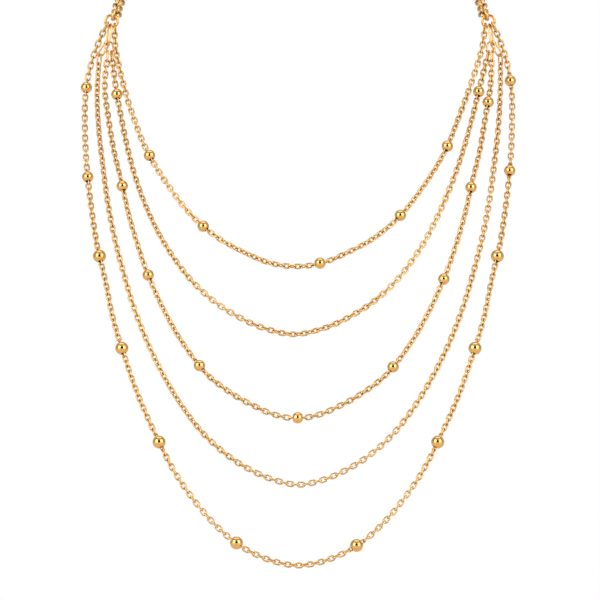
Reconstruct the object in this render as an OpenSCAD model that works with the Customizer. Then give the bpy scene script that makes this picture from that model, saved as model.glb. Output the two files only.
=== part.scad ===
// Five-strand station necklace. Five fine cable chains of growing length hang between two
// rings, small round beads sit along three of them, and a heavier chain with a clasp closes
// the loop behind the neck. It keeps the form that it has when worn: +Z is up, the front
// faces -Y, and the origin is where the clasp lies on the nape. Sizes are in millimetres.

/* [Neck] */
// Distance between the centres of the two strand rings
ring_span = 106; // [96:0.5:118]
// How far the strand rings lie in front of the nape
ring_depth = 70; // [60:0.5:80]
// How far the strand rings lie below the nape
nape_rise = 22; // [14:0.5:30]
// How far the throat lies in front of the strand rings
throat_depth = 26; // [22:0.5:32]
// How far the chest comes forward for each millimetre down
chest_slope = 0.2; // [0.15:0.01:0.26]
// Drop over which the round neck opens out into the chest
neck_flare = 60; // [50:1:70]

/* [Strands] */
// Drop of strand 1, from the ring centres to its lowest point
drop_1 = 69; // [62:0.5:76]
// Drop of strand 2
drop_2 = 88; // [82:0.5:96]
// Drop of strand 3
drop_3 = 111.5; // [103:0.5:119]
// Drop of strand 4
drop_4 = 130; // [124:0.5:138]
// Drop of strand 5
drop_5 = 152.5; // [145:0.5:165]

/* [Lean] */
// How far the low part of strand 1 hangs to the left of the middle
lean_1 = 1.1; // [0.7:0.05:1.4]
// The same of strand 2
lean_2 = 1.7; // [1.2:0.05:2]
// The same of strand 3
lean_3 = 0.9; // [0.6:0.05:1.2]
// The same of strands 4 and 5
lean_low = 0.45; // [0.2:0.05:0.8]
// Drop over which the lean comes on
lean_drop = 24; // [20:0.5:30]
// The same of strand 2
lean_drop_2 = 50; // [44:0.5:56]

/* [Strand chain] */
// Wire of the strand links
link_wire = 0.48; // [0.42:0.01:0.52]
// Outer width of a strand link
link_width = 1.85; // [1.75:0.05:2.1]
// Length that each strand link adds to its chain
link_pitch = 1.58; // [1.52:0.01:1.9]
// Turn of the links about the chain, halfway down each side
link_turn = 45; // [0:5:60]
// Width of the tube that stands for a chain of fine links
tube_d = 1.4; // [1.1:0.05:1.45]
// Longest step between the rings of points along such a tube
tube_step = 5.5; // [4.5:0.1:7]

/* [Beads] */
// Bead diameter
bead_d = 3.2; // [3:0.05:3.5]
// Diameter of the larger beads, low on the longest strand
large_bead_d = 3.65; // [3.4:0.05:4]
// Wire of the long link that passes through each bead
bead_link_wire = 0.38; // [0.34:0.01:0.42]
// How far that link carries on past its bead, on each side
bead_link_reach = 0.75; // [0.65:0.05:1.1]

/* [Rings] */
// Outer diameter of the rings that carry the strands
ring_d = 4.2; // [4:0.05:4.8]
// Wire of those rings
ring_wire = 0.76; // [0.68:0.01:0.8]
// Outer diameter of the ring that ties each strand ring to the back chain
tie_d = 3.5; // [3.45:0.05:4.2]
// Wire of the tie rings
tie_wire = 0.76; // [0.68:0.01:0.78]

/* [Connector links] */
// Outer length of the long link that hangs from each strand ring
long_length = 6.6; // [6:0.1:7.2]
// Outer width of the long link
long_width = 3; // [2.9:0.05:3.3]
// Wire of the long link
long_wire = 0.55; // [0.5:0.01:0.58]
// Outer length of the inner link below it
inner_length = 4.2; // [4:0.1:4.8]
// Outer length of the outer link below it
outer_length = 5.2; // [4.6:0.1:5.6]
// Outer width of the inner link
inner_width = 2.9; // [2.8:0.05:3.2]
// Outer width of the outer link
outer_width = 2.5; // [2.4:0.05:2.8]
// Wire of the inner and outer links
short_wire = 0.5; // [0.45:0.01:0.54]
// Outer length of the link at each end of a strand
end_length = 3.7; // [3.5:0.1:4.2]
// Wire of the end links
end_wire = 0.45; // [0.4:0.01:0.48]

// The long link points to a place on the skin this far below the ring centres
long_aim = 7; // [6:0.5:9]
// How far that place lies outside the ring centre
long_out = 1.2; // [0.9:0.05:1.5]
// How far it lies behind the skin's line
long_in = 0.6; // [0.4:0.05:0.8]
// The inner and outer links point to places this far below the ring centres
short_aim = 10.5; // [9.5:0.5:12]
// How far the inner link's place lies outside the ring centre
inner_out = 0.1; // [0:0.05:0.3]
// How far it lies behind the skin's line
inner_in = 0.3; // [0.1:0.05:0.5]
// How far the outer link's place lies outside the ring centre
outer_out = 3.8; // [3.5:0.05:4.2]

/* [Back chain] */
// Outer length of a back link
back_length = 4.8; // [4.4:0.1:5.4]
// Outer width of a back link
back_width = 3.2; // [3:0.1:3.6]
// Wire of the back links
back_wire = 0.75; // [0.65:0.01:0.8]

/* [Clasp] */
// Outer diameter of the clasp
clasp_d = 6.4; // [5.8:0.1:7.5]
// Thickness of the clasp's body
clasp_wire = 1.4; // [1.2:0.05:1.6]
// Outer diameter of the eye on each side of the clasp
eye_d = 2.7; // [2.6:0.05:3.2]
// Wire of the eyes
eye_wire = 0.65; // [0.55:0.01:0.7]

/* [Fit] */
// Clear gap between wires that pull on each other
link_gap = 0.12; // [0.1:0.01:0.15]
// The same gap where a link hangs on a ring or on a connector link
hook_gap = 0.2; // [0.18:0.01:0.24]
// Clear gap at each side of a wire that passes through a narrow link or a bore
side_play = 0.14; // [0.12:0.01:0.18]

/* [Hidden] */
// Each row of a strand's route is [share of half the ring span, share of the strand's drop],
// from the ring side down, without the hook at the top and with the lowest point last.
ROUTES = [
    [
        [0.971, 0.114], [0.918, 0.265], [0.860, 0.396], [0.791, 0.527], [0.689, 0.657],
        [0.558, 0.788], [0.409, 0.886], [0.251, 0.951], [0.127, 0.988], [0, 1],
    ],
    [
        [0.966, 0.208], [0.930, 0.310], [0.888, 0.412], [0.835, 0.514], [0.765, 0.617],
        [0.676, 0.719], [0.553, 0.821], [0.415, 0.898], [0.278, 0.949], [0.154, 0.981],
        [0, 1],
    ],
    [
        [1.023, 0.164], [0.999, 0.244], [0.970, 0.325], [0.928, 0.406], [0.890, 0.486],
        [0.840, 0.567], [0.780, 0.647], [0.702, 0.728], [0.605, 0.809], [0.475, 0.889],
        [0.335, 0.940], [0.219, 0.970], [0.120, 0.990], [0, 1],
    ],
    [
        [1.069, 0.157], [1.058, 0.235], [1.036, 0.312], [1.010, 0.390], [0.973, 0.468],
        [0.924, 0.545], [0.866, 0.623], [0.791, 0.700], [0.695, 0.778], [0.587, 0.847],
        [0.481, 0.899], [0.357, 0.942], [0.234, 0.972], [0.117, 0.991], [0, 1],
    ],
    [
        [1.068, 0.040], [1.102, 0.075], [1.130, 0.130], [1.132, 0.200], [1.121, 0.270],
        [1.098, 0.340], [1.067, 0.410], [1.020, 0.480], [0.978, 0.550], [0.916, 0.620],
        [0.845, 0.690], [0.755, 0.760], [0.655, 0.828], [0.539, 0.886], [0.426, 0.930],
        [0.313, 0.963], [0.190, 0.985], [0.090, 0.996], [0, 1],
    ],
];
// The beads of each strand from left to right, in the same shares, left of the middle negative
BEADS = [
    [[-0.801, 0.551], [-0.515, 0.837], [0.106, 0.988], [0.536, 0.796], [0.780, 0.510]],
    [[-0.971, 0.236], [0.950, 0.227]],
    [
        [-0.950, 0.417], [-0.806, 0.641], [-0.533, 0.870], [-0.013, 1.000],
        [0.496, 0.872], [0.764, 0.653], [0.915, 0.421], [1.003, 0.204],
    ],
    [],
    [
        [-1.125, 0.123], [-1.125, 0.287], [-1.069, 0.434], [-0.950, 0.604],
        [-0.761, 0.777], [-0.345, 0.964], [0.300, 0.963], [0.735, 0.777],
        [0.928, 0.604], [1.053, 0.433], [1.117, 0.277], [1.119, 0.110],
    ],
];
// The strand with larger beads, from the first to the last of those
LARGE_STRAND = 5;
LARGE_BEADS = [3, 10];
// The strand whose links are all modelled, and the steps between two points of a route
LINKED_STRAND = 1;
ROUTE_STEPS = 24;
BACK_STEPS = 60;
TUBE_SIDES = 8;
WIRE_SIDES = 24;
RUN_STEP = 0.002;
CURVE_SIDES = 48;
GOLD = [0.86, 0.68, 0.36];
PALE_GOLD = [0.91, 0.76, 0.47];

// Places where pieces hook on the strand ring, in degrees out from straight down, and on
// the lower bend of a connector link, in degrees towards its outer side
HOOK_STRAND_1 = -35;
HOOK_LONG_LINK = 13;
HOOK_STRAND_5 = 53;
HOOK_INNER_LINK = -34;
HOOK_OUTER_LINK = 42;
HOOK_STRAND_2 = -22;
HOOK_STRAND_3 = 32;
// Turn of each connector link's flat side, from across the front towards the back
LONG_YAW = 70;
INNER_YAW = -18;
OUTER_YAW = -40;
// Lean of the tie ring towards the neck, its pull from there towards the back, and the turn
// of that pull towards the middle, in degrees
TIE_LEAN = 22;
TIE_PULL = 70;
TIE_TURN = 20;
// Roll of the first and last link of the back chain about the chain
BACK_ROLLS = [26, 0];

half_span = ring_span / 2;
ring_r = (ring_d - ring_wire) / 2;
ring_centre = [half_span, -ring_depth, -nape_rise];
tie_r = (tie_d - tie_wire) / 2;
clasp_r = (clasp_d - clasp_wire) / 2;
eye_r = (eye_d - eye_wire) / 2;
eye_x = clasp_r + clasp_wire / 2 + eye_r;
drops = [drop_1, drop_2, drop_3, drop_4, drop_5];
strand_count = len(drops);
// How far each strand hangs to the left of the middle, and the drop over which that comes on
leans = [
    [lean_1, lean_drop], [lean_2, lean_drop_2], [lean_3, lean_drop],
    [lean_low, lean_drop], [lean_low, lean_drop],
];
end_reach = end_length - 2 * end_wire - link_gap;
bead_link_width = 2 * bead_link_wire + link_wire + 2 * side_play;
bead_bore = bead_link_width + 2 * side_play;
back_pitch = back_length - 2 * back_wire - link_gap;

function unit(v) = v / norm(v);
function flip(p) = [-p.x, p.y, p.z];
// The part of v that is square to a unit axis
function square_to(v, axis) = unit(v - (v * axis) * axis);
function across(yaw) = [cos(yaw), sin(yaw), 0];
function half_turn(a) = a - 180 * round(a / 180);

// Point of the neck and chest at x, and at a height measured from the ring centres
function on_skin(x, z) = [
    x,
    -ring_depth - throat_depth + chest_slope * z
        + throat_depth * pow(x / half_span, 2) / (1 + pow(z / neck_flare, 2)),
    z - nape_rise,
];

// A connector link is [seat, axis, side, length, width, wire]. Its seat is where the piece
// that carries it touches it, and its axis points away from there.
// A hook is [centre, wire, run]: the centre, the size and the direction of the wire there.
function seat_at(wire_centre, wire, axis) = wire_centre - axis * (wire + link_gap) / 2;
function seat_on(hook, axis, own_wire) =
    let (slope = hook[2] * axis, apart = (hook[1] + own_wire) / 2 + hook_gap)
    hook[0] - axis * (apart / sqrt(1 - slope * slope) - (own_wire + link_gap) / 2);
function connector(hook, aim, yaw, length, width, own_wire) =
    let (axis = unit(on_skin(half_span + aim[0], -aim[1]) - [0, aim[2], 0] - hook[0]))
    [
        seat_on(hook, axis, own_wire), axis, square_to(across(yaw), axis),
        length, width, own_wire,
    ];
// The hook on a connector link's lower bend, deg towards its outer side
function on_bend(link, deg) =
    let (r = (link[4] - link[5]) / 2)
    [
        link[0] + link[1] * (link[3] - link[4] + r - (link[5] + link_gap) / 2)
            + r * (link[1] * cos(deg) + link[2] * sin(deg)),
        link[5],
        link[2] * cos(deg) - link[1] * sin(deg),
    ];
// The hook on the strand ring, deg out from straight down
function on_ring(deg) =
    [ring_centre + ring_r * [sin(deg), 0, -cos(deg)], ring_wire, [cos(deg), 0, sin(deg)]];

long_link = connector(
    on_ring(HOOK_LONG_LINK), [long_out, long_aim, long_in], LONG_YAW,
    long_length, long_width, long_wire
);
inner_link = connector(
    on_bend(long_link, HOOK_INNER_LINK), [inner_out, short_aim, inner_in], INNER_YAW,
    inner_length, inner_width, short_wire
);
outer_link = connector(
    on_bend(long_link, HOOK_OUTER_LINK), [outer_out, short_aim, 0], OUTER_YAW,
    outer_length, outer_width, short_wire
);
// Where each strand's end hooks on, on the right
hooks = [
    on_ring(HOOK_STRAND_1),
    on_bend(inner_link, HOOK_STRAND_2),
    on_bend(inner_link, HOOK_STRAND_3),
    on_bend(outer_link, 0),
    on_ring(HOOK_STRAND_5),
];

// A smooth curve through a list of points, with steps short lines between each two
function bend(a, b, c, d, t) =
    (2 * b + (c - a) * t + (2 * a - 5 * b + 4 * c - d) * t * t
        + (3 * b - a - 3 * c + d) * t * t * t) / 2;
function smooth(points, steps) =
    let (last = len(points) - 1,
        p = concat([2 * points[0] - points[1]], points, [2 * points[last] - points[last - 1]]))
    [
        for (k = [1 : last], j = [0 : steps - 1]) bend(p[k - 1], p[k], p[k + 1], p[k + 2], j / steps),
        points[last],
    ];
// A track keeps a curve as three tables, of x, y and z by the length run along it
function lengths(points) =
    let (last = len(points) - 1, gaps = [for (i = [0 : last - 1]) norm(points[i + 1] - points[i])])
    [for (i = 0, s = 0; i <= last; s = s + (i < last ? gaps[i] : 0), i = i + 1) s];
function track(points) =
    let (s = lengths(points))
    [for (axis = [0 : 2]) [for (i = [0 : len(points) - 1]) [s[i], points[i][axis]]]];
function at(track, s) = [for (axis = [0 : 2]) lookup(s, track[axis])];
function track_length(track) = track[0][len(track[0]) - 1][0];

// The places of a strand n, counted from 1
function strand_point(n, share, side) =
    let (down = share[1] * drops[n - 1], lean = leans[n - 1])
    on_skin(side * share[0] * half_span - lean[0] * min(1, down / lean[1]), -down);
function strand_route(n) =
    let (
        rows = ROUTES[n - 1],
        low = len(rows) - 1,
        right = [for (k = [low - 1 : -1 : 0]) strand_point(n, rows[k], 1)],
        left = [for (k = [0 : low]) strand_point(n, rows[k], -1)],
        hook = hooks[n - 1],
        tip = seat_on(hook, unit(strand_point(n, rows[0], 1) - hook[0]), end_wire)
    )
    concat([flip(tip)], left, right, [tip]);
// The width of a strand's end links, which are just wide enough for the wire they hang on
function end_width(n) = hooks[n - 1][1] + 3 * side_play + 2 * end_wire;
strand_tracks = [for (n = [1 : strand_count]) track(smooth(strand_route(n), ROUTE_STEPS))];
// The length along the strand at which a bead's centre comes nearest to its chosen place
function bead_mark(n, b) =
    let (
        track = strand_tracks[n - 1],
        share = BEADS[n - 1][b - 1],
        place = [share[0] * half_span, -nape_rise - share[1] * drops[n - 1]],
        off = [
            for (i = [0 : len(track[0]) - 1])
                norm([track[0][i][1] - place[0], track[2][i][1] - place[1]])
        ]
    )
    track[0][search(min(off), off)[0]][0];
function bead_size(n, b) =
    n == LARGE_STRAND && b >= LARGE_BEADS[0] && b <= LARGE_BEADS[1] ? large_bead_d : bead_d;
// Lengths along the strand at which the long link through a bead starts and ends
function bead_link_ends(n, b) =
    let (mark = bead_mark(n, b), half = bead_size(n, b) / 2 + bead_link_reach)
    [mark - half, mark + half];
// Lengths along the strand at which each clear run of chain starts and ends
function runs(n, margin) =
    let (
        ends = concat(
            [margin],
            [for (b = [1 : 1 : len(BEADS[n - 1])]) each bead_link_ends(n, b)],
            [track_length(strand_tracks[n - 1]) - margin]
        )
    )
    [for (k = [0 : 2 : len(ends) - 2]) [ends[k], ends[k + 1]]];
function steps_along(runs, count) = [
    for (run = runs) let (n = count(run[1] - run[0]))
        for (k = [0 : n]) run[0] + (run[1] - run[0]) * k / n
];

// The roll about its own axis of a strand's end link, which stands square to its hook's wire
function end_roll(n, side) =
    let (
        track = strand_tracks[n - 1],
        total = track_length(track),
        axis = side < 0
            ? unit(at(track, end_reach) - at(track, 0))
            : unit(at(track, total) - at(track, total - end_reach)),
        flat = unit(cross(axis, [0, -1, 0])),
        wide = cross(side < 0 ? flip(hooks[n - 1][2]) : hooks[n - 1][2], axis)
    )
    atan2(wide * cross(flat, axis), wide * flat);
// The roll of link k of a chain: each is square to the last, the first and the last have the
// rolls that their hooks ask for, and turn is added halfway down each side
function link_roll(k, last, first_roll, last_roll, turn) =
    let (drift = half_turn(last_roll - first_roll - 90 * last))
    first_roll + drift * k / last + 90 * k + turn * pow(sin(360 * k / last), 2);

module stand(place, axis, side) {
    y = cross(axis, side);
    multmatrix([
        [side.x, y.x, axis.x, place.x],
        [side.y, y.y, axis.y, place.y],
        [side.z, y.z, axis.z, place.z],
    ])
        children();
}

// A flat oval link about its centre, with its length along Z and its width along X. Its
// straight run is rounded, so that the ends of the runs and the bends are the same faces.
module oval(length, width, wire) {
    r = (width - wire) / 2;
    run = round((length - width) / RUN_STEP) * RUN_STEP;
    for (turn = [0, 180])
        rotate([0, turn, 0])
            translate([0, 0, run / 2])
                rotate([90, 0, 0])
                    rotate_extrude(angle = 180, $fn = CURVE_SIDES)
                        translate([r, 0])
                            circle(d = wire, $fn = WIRE_SIDES);
    for (side = [-1, 1])
        translate([side * r, 0, -run / 2])
            cylinder(d = wire, h = run, $fn = WIRE_SIDES);
}

module round_ring(r, wire) {
    rotate_extrude($fn = CURVE_SIDES)
        translate([r, 0])
            circle(d = wire, $fn = WIRE_SIDES);
}

// A link whose two neighbours touch it at a and at b
module link_between(a, b, roll, facing, width, wire) {
    axis = unit(b - a);
    flat = unit(cross(axis, facing));
    side = flat * cos(roll) + cross(flat, axis) * sin(roll);
    stand((a + b) / 2, axis, side)
        oval(norm(b - a) + 2 * wire + link_gap, width, wire);
}

module connector_link(link) {
    stand(link[0] + link[1] * (link[3] - 2 * link[5] - link_gap) / 2, link[1], link[2])
        oval(link[3], link[4], link[5]);
}

module on_side(side) {
    if (side > 0) children();
    else mirror([1, 0, 0]) children();
}

module strand_ring() {
    color(GOLD)
        stand(ring_centre, [0, -1, 0], [1, 0, 0])
            round_ring(ring_r, ring_wire);
}

tie_in = [-sin(TIE_LEAN), 0, cos(TIE_LEAN)];
tie_across = cross(tie_in, [0, 1, 0]);
tie_pull = tie_in * cos(TIE_PULL)
    + ([0, 1, 0] * cos(TIE_TURN) + tie_across * sin(TIE_TURN)) * sin(TIE_PULL);
tie_axis = unit(cross(tie_in, tie_pull));
// The wires of the two rings cross at a slant, which brings them nearer
tie_slant = cross([tie_in.z, 0, -tie_in.x], cross(tie_axis, tie_pull));
tie_centre = ring_centre + tie_in * ring_r
    + tie_pull * (tie_r - ((tie_wire + ring_wire) / 2 + link_gap) / abs(unit(tie_slant) * tie_pull));

module tie_ring() {
    color(GOLD)
        stand(tie_centre, tie_axis, tie_in)
            round_ring(tie_r, tie_wire);
}

// The back chain runs round the neck from the tie ring to the eye of the clasp
back_start = tie_centre + tie_pull * tie_r;
back_end = [eye_x + eye_r, clasp_wire / 2, 0];
function back_point(a) = [
    back_end.x + (back_start.x - back_end.x) * cos(a),
    back_start.y + (back_end.y - back_start.y) * sin(a),
    back_start.z + (back_end.z - back_start.z) * sin(a),
];
back_line = [for (k = [0 : BACK_STEPS]) back_point(90 * k / BACK_STEPS)];
back_track = track(concat(
    [seat_at(back_start, tie_wire, unit(back_line[1] - back_line[0]))],
    [for (k = [1 : BACK_STEPS - 1]) back_line[k]],
    [seat_at(back_end, eye_wire, [1, 0, 0])]
));

module back_chain() {
    count = round(track_length(back_track) / back_pitch);
    step = track_length(back_track) / count;
    color(GOLD)
        for (k = [0 : count - 1])
            link_between(
                at(back_track, k * step), at(back_track, (k + 1) * step),
                link_roll(k, count - 1, BACK_ROLLS[0], BACK_ROLLS[1], 0),
                [0, 0, 1], back_width, back_wire
            );
}

module clasp() {
    color(GOLD)
        translate([0, clasp_wire / 2, 0])
            rotate([90, 0, 0]) {
                round_ring(clasp_r, clasp_wire);
                for (side = [-1, 1])
                    translate([side * eye_x, 0, 0])
                        round_ring(eye_r, eye_wire);
            }
}

module end_link(n, side) {
    track = strand_tracks[n - 1];
    total = track_length(track);
    from = side < 0 ? 0 : total - end_reach;
    link_between(
        at(track, from), at(track, from + end_reach),
        end_roll(n, side), [0, -1, 0], end_width(n), end_wire
    );
}

// A strand with every link modelled
module linked_strand(n) {
    track = strand_tracks[n - 1];
    total = track_length(track);
    marks = concat(
        [0],
        steps_along(runs(n, end_reach), function(run) round(run / link_pitch)),
        [total]
    );
    last = len(marks) - 2;
    for (k = [1 : last - 1]) {
        // Only the links that pass through a bead are longer than it
        through_bead = marks[k + 1] - marks[k] > bead_d;
        link_between(
            at(track, marks[k]), at(track, marks[k + 1]),
            link_roll(k, last, end_roll(n, -1), end_roll(n, 1), link_turn),
            [0, -1, 0], through_bead ? bead_link_width : link_width,
            through_bead ? bead_link_wire : link_wire
        );
    }
}

// A plain tube along the middle of a strand, straight where it passes through a bead
module strand_tube(n) {
    track = strand_tracks[n - 1];
    margin = end_reach + end_wire + 2 * link_gap;
    marks = steps_along(runs(n, margin), function(run) ceil(run / tube_step));
    centres = [for (m = marks) at(track, m)];
    last = len(centres) - 1;
    points = [
        for (k = [0 : last])
            let (
                axis = unit(centres[min(k + 1, last)] - centres[max(k - 1, 0)]),
                flat = unit(cross(axis, [0, -1, 0])),
                up = cross(flat, axis)
            )
            for (j = [0 : TUBE_SIDES - 1])
                let (a = 360 * j / TUBE_SIDES)
                centres[k] + tube_d / 2 * (flat * cos(a) + up * sin(a))
    ];
    faces = concat(
        [[for (j = [0 : TUBE_SIDES - 1]) TUBE_SIDES - 1 - j]],
        [
            for (k = [0 : last - 1], j = [0 : TUBE_SIDES - 1])
                let (a = k * TUBE_SIDES + j, b = k * TUBE_SIDES + (j + 1) % TUBE_SIDES)
                each [[a, b, a + TUBE_SIDES], [b, b + TUBE_SIDES, a + TUBE_SIDES]]
        ],
        [[for (j = [0 : TUBE_SIDES - 1]) last * TUBE_SIDES + j]]
    );
    polyhedron(points = points, faces = faces, convexity = 10);
}

module strand(n) {
    color(PALE_GOLD) {
        for (side = [-1, 1])
            end_link(n, side);
        if (n == LINKED_STRAND) linked_strand(n);
        else strand_tube(n);
    }
}

module bead(n, b) {
    size = bead_size(n, b);
    track = strand_tracks[n - 1];
    ends = bead_link_ends(n, b);
    from = at(track, ends[0]);
    to = at(track, ends[1]);
    axis = unit(to - from);
    color(GOLD)
        stand((from + to) / 2, axis, unit(cross(axis, [0, -1, 0])))
            difference() {
                sphere(d = size, $fn = CURVE_SIDES);
                cylinder(d = bead_bore, h = 2 * size, center = true, $fn = CURVE_SIDES);
            }
}

function strand_name(n) = str("strand_", n);
function bead_name(n, b) = str("strand_", n, "_bead_", b);
function side_name(piece, side) = str(piece, side < 0 ? "_left" : "_right");

SIDE_PIECES = ["strand_ring", "tie_ring", "long_link", "inner_link", "outer_link", "back_chain"];

for (n = [1 : strand_count]) {
    strand(n);
    for (b = [1 : 1 : len(BEADS[n - 1])])
        bead(n, b);
}
for (side = [-1, 1]) {
    on_side(side) strand_ring();
    on_side(side) tie_ring();
    on_side(side) color(GOLD) connector_link(long_link);
    on_side(side) color(GOLD) connector_link(inner_link);
    on_side(side) color(GOLD) connector_link(outer_link);
    on_side(side) back_chain();
}
clasp();
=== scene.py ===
"""Layered station necklace: five fine cable chains with small round beads hang between two
rings, and a heavier chain with a clasp closes the loop behind the neck.

The chains, beads, rings and links are made here over the fixed frame, in metres, with +Z up
and the front facing -Y. The origin is where the clasp lies on the nape."""

import math
import random
from bisect import bisect_right
from collections import namedtuple

import bmesh
import bpy
from bpy.props import FloatProperty, FloatVectorProperty, IntProperty, PointerProperty
from mathutils import Matrix, Vector


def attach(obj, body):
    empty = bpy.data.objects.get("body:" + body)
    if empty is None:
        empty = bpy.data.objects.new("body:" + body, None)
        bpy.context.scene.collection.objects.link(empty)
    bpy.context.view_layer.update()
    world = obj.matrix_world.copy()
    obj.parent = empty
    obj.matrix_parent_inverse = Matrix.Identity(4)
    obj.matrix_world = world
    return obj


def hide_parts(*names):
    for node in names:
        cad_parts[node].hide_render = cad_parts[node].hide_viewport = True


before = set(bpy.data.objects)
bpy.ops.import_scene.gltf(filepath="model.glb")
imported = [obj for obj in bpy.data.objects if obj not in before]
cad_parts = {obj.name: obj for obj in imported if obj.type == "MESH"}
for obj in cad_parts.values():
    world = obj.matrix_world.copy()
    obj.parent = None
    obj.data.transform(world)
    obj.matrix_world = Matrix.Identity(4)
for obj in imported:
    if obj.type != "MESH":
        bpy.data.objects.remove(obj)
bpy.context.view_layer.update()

bl_info = {
    "name": "Layered station necklace",
    "version": (1, 0, 0),
    "blender": (4, 5, 0),
    "location": "3D View > Sidebar > Necklace",
    "description": "Makes the chains, beads and rings of a layered necklace",
    "category": "Add Mesh",
}

MM = 0.001
FRONT = Vector((0, -1, 0))
UP = Vector((0, 0, 1))

# Each row of a strand's route is (share of half the ring span, share of the strand's drop),
# from the ring side down, without the hook at the top and with the lowest point last.
ROUTES = (
    (
        (0.971, 0.114), (0.918, 0.265), (0.860, 0.396), (0.791, 0.527), (0.689, 0.657),
        (0.558, 0.788), (0.409, 0.886), (0.251, 0.951), (0.127, 0.988), (0, 1),
    ),
    (
        (0.966, 0.208), (0.930, 0.310), (0.888, 0.412), (0.835, 0.514), (0.765, 0.617),
        (0.676, 0.719), (0.553, 0.821), (0.415, 0.898), (0.278, 0.949), (0.154, 0.981),
        (0, 1),
    ),
    (
        (1.023, 0.164), (0.999, 0.244), (0.970, 0.325), (0.928, 0.406), (0.890, 0.486),
        (0.840, 0.567), (0.780, 0.647), (0.702, 0.728), (0.605, 0.809), (0.475, 0.889),
        (0.335, 0.940), (0.219, 0.970), (0.120, 0.990), (0, 1),
    ),
    (
        (1.069, 0.157), (1.058, 0.235), (1.036, 0.312), (1.010, 0.390), (0.973, 0.468),
        (0.924, 0.545), (0.866, 0.623), (0.791, 0.700), (0.695, 0.778), (0.587, 0.847),
        (0.481, 0.899), (0.357, 0.942), (0.234, 0.972), (0.117, 0.991), (0, 1),
    ),
    (
        (1.068, 0.040), (1.102, 0.075), (1.130, 0.130), (1.132, 0.200), (1.121, 0.270),
        (1.098, 0.340), (1.067, 0.410), (1.020, 0.480), (0.978, 0.550), (0.916, 0.620),
        (0.845, 0.690), (0.755, 0.760), (0.655, 0.828), (0.539, 0.886), (0.426, 0.930),
        (0.313, 0.963), (0.190, 0.985), (0.090, 0.996), (0, 1),
    ),
)
# How far each strand hangs to the right of the middle, here to the left, and the drop over
# which that comes on
LEANS = (
    (-1.1 * MM, 24 * MM), (-1.7 * MM, 50 * MM), (-0.9 * MM, 24 * MM), (-0.45 * MM, 24 * MM),
    (-0.45 * MM, 24 * MM),
)
# The beads of each strand from left to right, in the same shares, left of the middle negative
BEADS = (
    ((-0.801, 0.551), (-0.515, 0.837), (0.106, 0.988), (0.536, 0.796), (0.780, 0.510)),
    ((-0.971, 0.236), (0.950, 0.227)),
    (
        (-0.950, 0.417), (-0.806, 0.641), (-0.533, 0.870), (-0.013, 1.000),
        (0.496, 0.872), (0.764, 0.653), (0.915, 0.421), (1.003, 0.204),
    ),
    (),
    (
        (-1.125, 0.123), (-1.125, 0.287), (-1.069, 0.434), (-0.950, 0.604),
        (-0.761, 0.777), (-0.345, 0.964), (0.300, 0.963), (0.735, 0.777),
        (0.928, 0.604), (1.053, 0.433), (1.117, 0.277), (1.119, 0.110),
    ),
)
# The strand with larger beads, from the first to the last of those
LARGE_STRAND = 5
LARGE_BEADS = range(3, 11)
STRANDS = range(1, len(ROUTES) + 1)
SIDES = ((-1, "left"), (1, "right"))
ROUTE_STEPS = 24
BACK_STEPS = 60

# Places where pieces hook on the strand ring, in degrees out from straight down, and on the
# lower bend of a connector link, in degrees towards its outer side
HOOK_STRAND_1 = -35
HOOK_LONG_LINK = 13
HOOK_STRAND_5 = 53
HOOK_INNER_LINK = -34
HOOK_OUTER_LINK = 42
HOOK_STRAND_2 = -22
HOOK_STRAND_3 = 32
# Where the connector links point: out from the strand ring, down from it and off the skin
LONG_AIM = (1.2 * MM, 7 * MM, 0.6 * MM)
INNER_AIM = (0.1 * MM, 10.5 * MM, 0.3 * MM)
OUTER_AIM = (3.8 * MM, 10.5 * MM, 0)
# Turn of each connector link's flat side, from across the front towards the back
LONG_YAW = 70
INNER_YAW = -18
OUTER_YAW = -40
# Lean of the tie ring towards the neck, its pull from there towards the back, and the turn of
# that pull towards the middle, in degrees
TIE_LEAN = 22
TIE_PULL = 70
TIE_TURN = 20
# Roll of the first and last link of the back chain about the chain
BACK_ROLLS = (26, 0)

# Faces round a bend and round the wire, for the fine links and for the larger pieces
FINE_STEPS, FINE_SIDES = 16, 6
LARGE_STEPS, LARGE_SIDES = 40, 16
BACK_LINK_STEPS, BACK_LINK_SIDES = 28, 12
# Points round a bead's outline, faces round the bead, and the bevel of its bore's edges
BEAD_POINTS, BEAD_STEPS = 48, 32
BORE_BEVEL = 0.06 * MM

Hook = namedtuple("Hook", "centre wire run")
Link = namedtuple("Link", "centre axis side length width wire")
Surface = namedtuple("Surface", "reach patches marks relief")

# Reach of the painted shade where other parts hem the surface in, tone patches and polish marks to
# the metre, and strength of the relief
CHAIN_SURFACE = Surface(0.7 * MM, 260, 1800, 0.12)
BEAD_SURFACE = Surface(0.1 * MM, 120, 900, 0.1)
RING_SURFACE = Surface(0.8 * MM, 200, 1200, 0.2)
RELIEF_DEPTH = 0.02 * MM
PATCH_AMOUNT = 0.7
# Roughness of the smoothest and the most worn places, as shares of the gold's own
SMOOTH_SHARE, WORN_SHARE = 0.8, 1.3

# Width and height of each light, where it stands and the point that it faces, in metres
BOX_SIZE, BOX_PLACE = (1.5, 1.7), (1.5, -1.5, 0.65)
TOP_SIZE, TOP_PLACE = (1.6, 1.0), (0, 0.1, 1.5)
LIGHT_TARGET = Vector((0, -0.08, -0.09))
# Where the dark card's soft edges start and end, in the X, Z and Y of a direction
CARD_ACROSS, CARD_UPRIGHT, CARD_FRONT = (0.33, 0.41), (0.5, 0.65), (-0.5, -0.3)


def length_prop(label, words, value, low, high):
    """A length that shows in millimetres or metres, as the scene's units are set."""
    return FloatProperty(
        name=label,
        description=words,
        default=value * MM,
        min=low * MM,
        max=high * MM,
        unit="LENGTH",
        precision=5,
    )


def colour_prop(label, words, value):
    return FloatVectorProperty(
        name=label, description=words, default=value, size=3, min=0, max=1, subtype="COLOR"
    )


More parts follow.
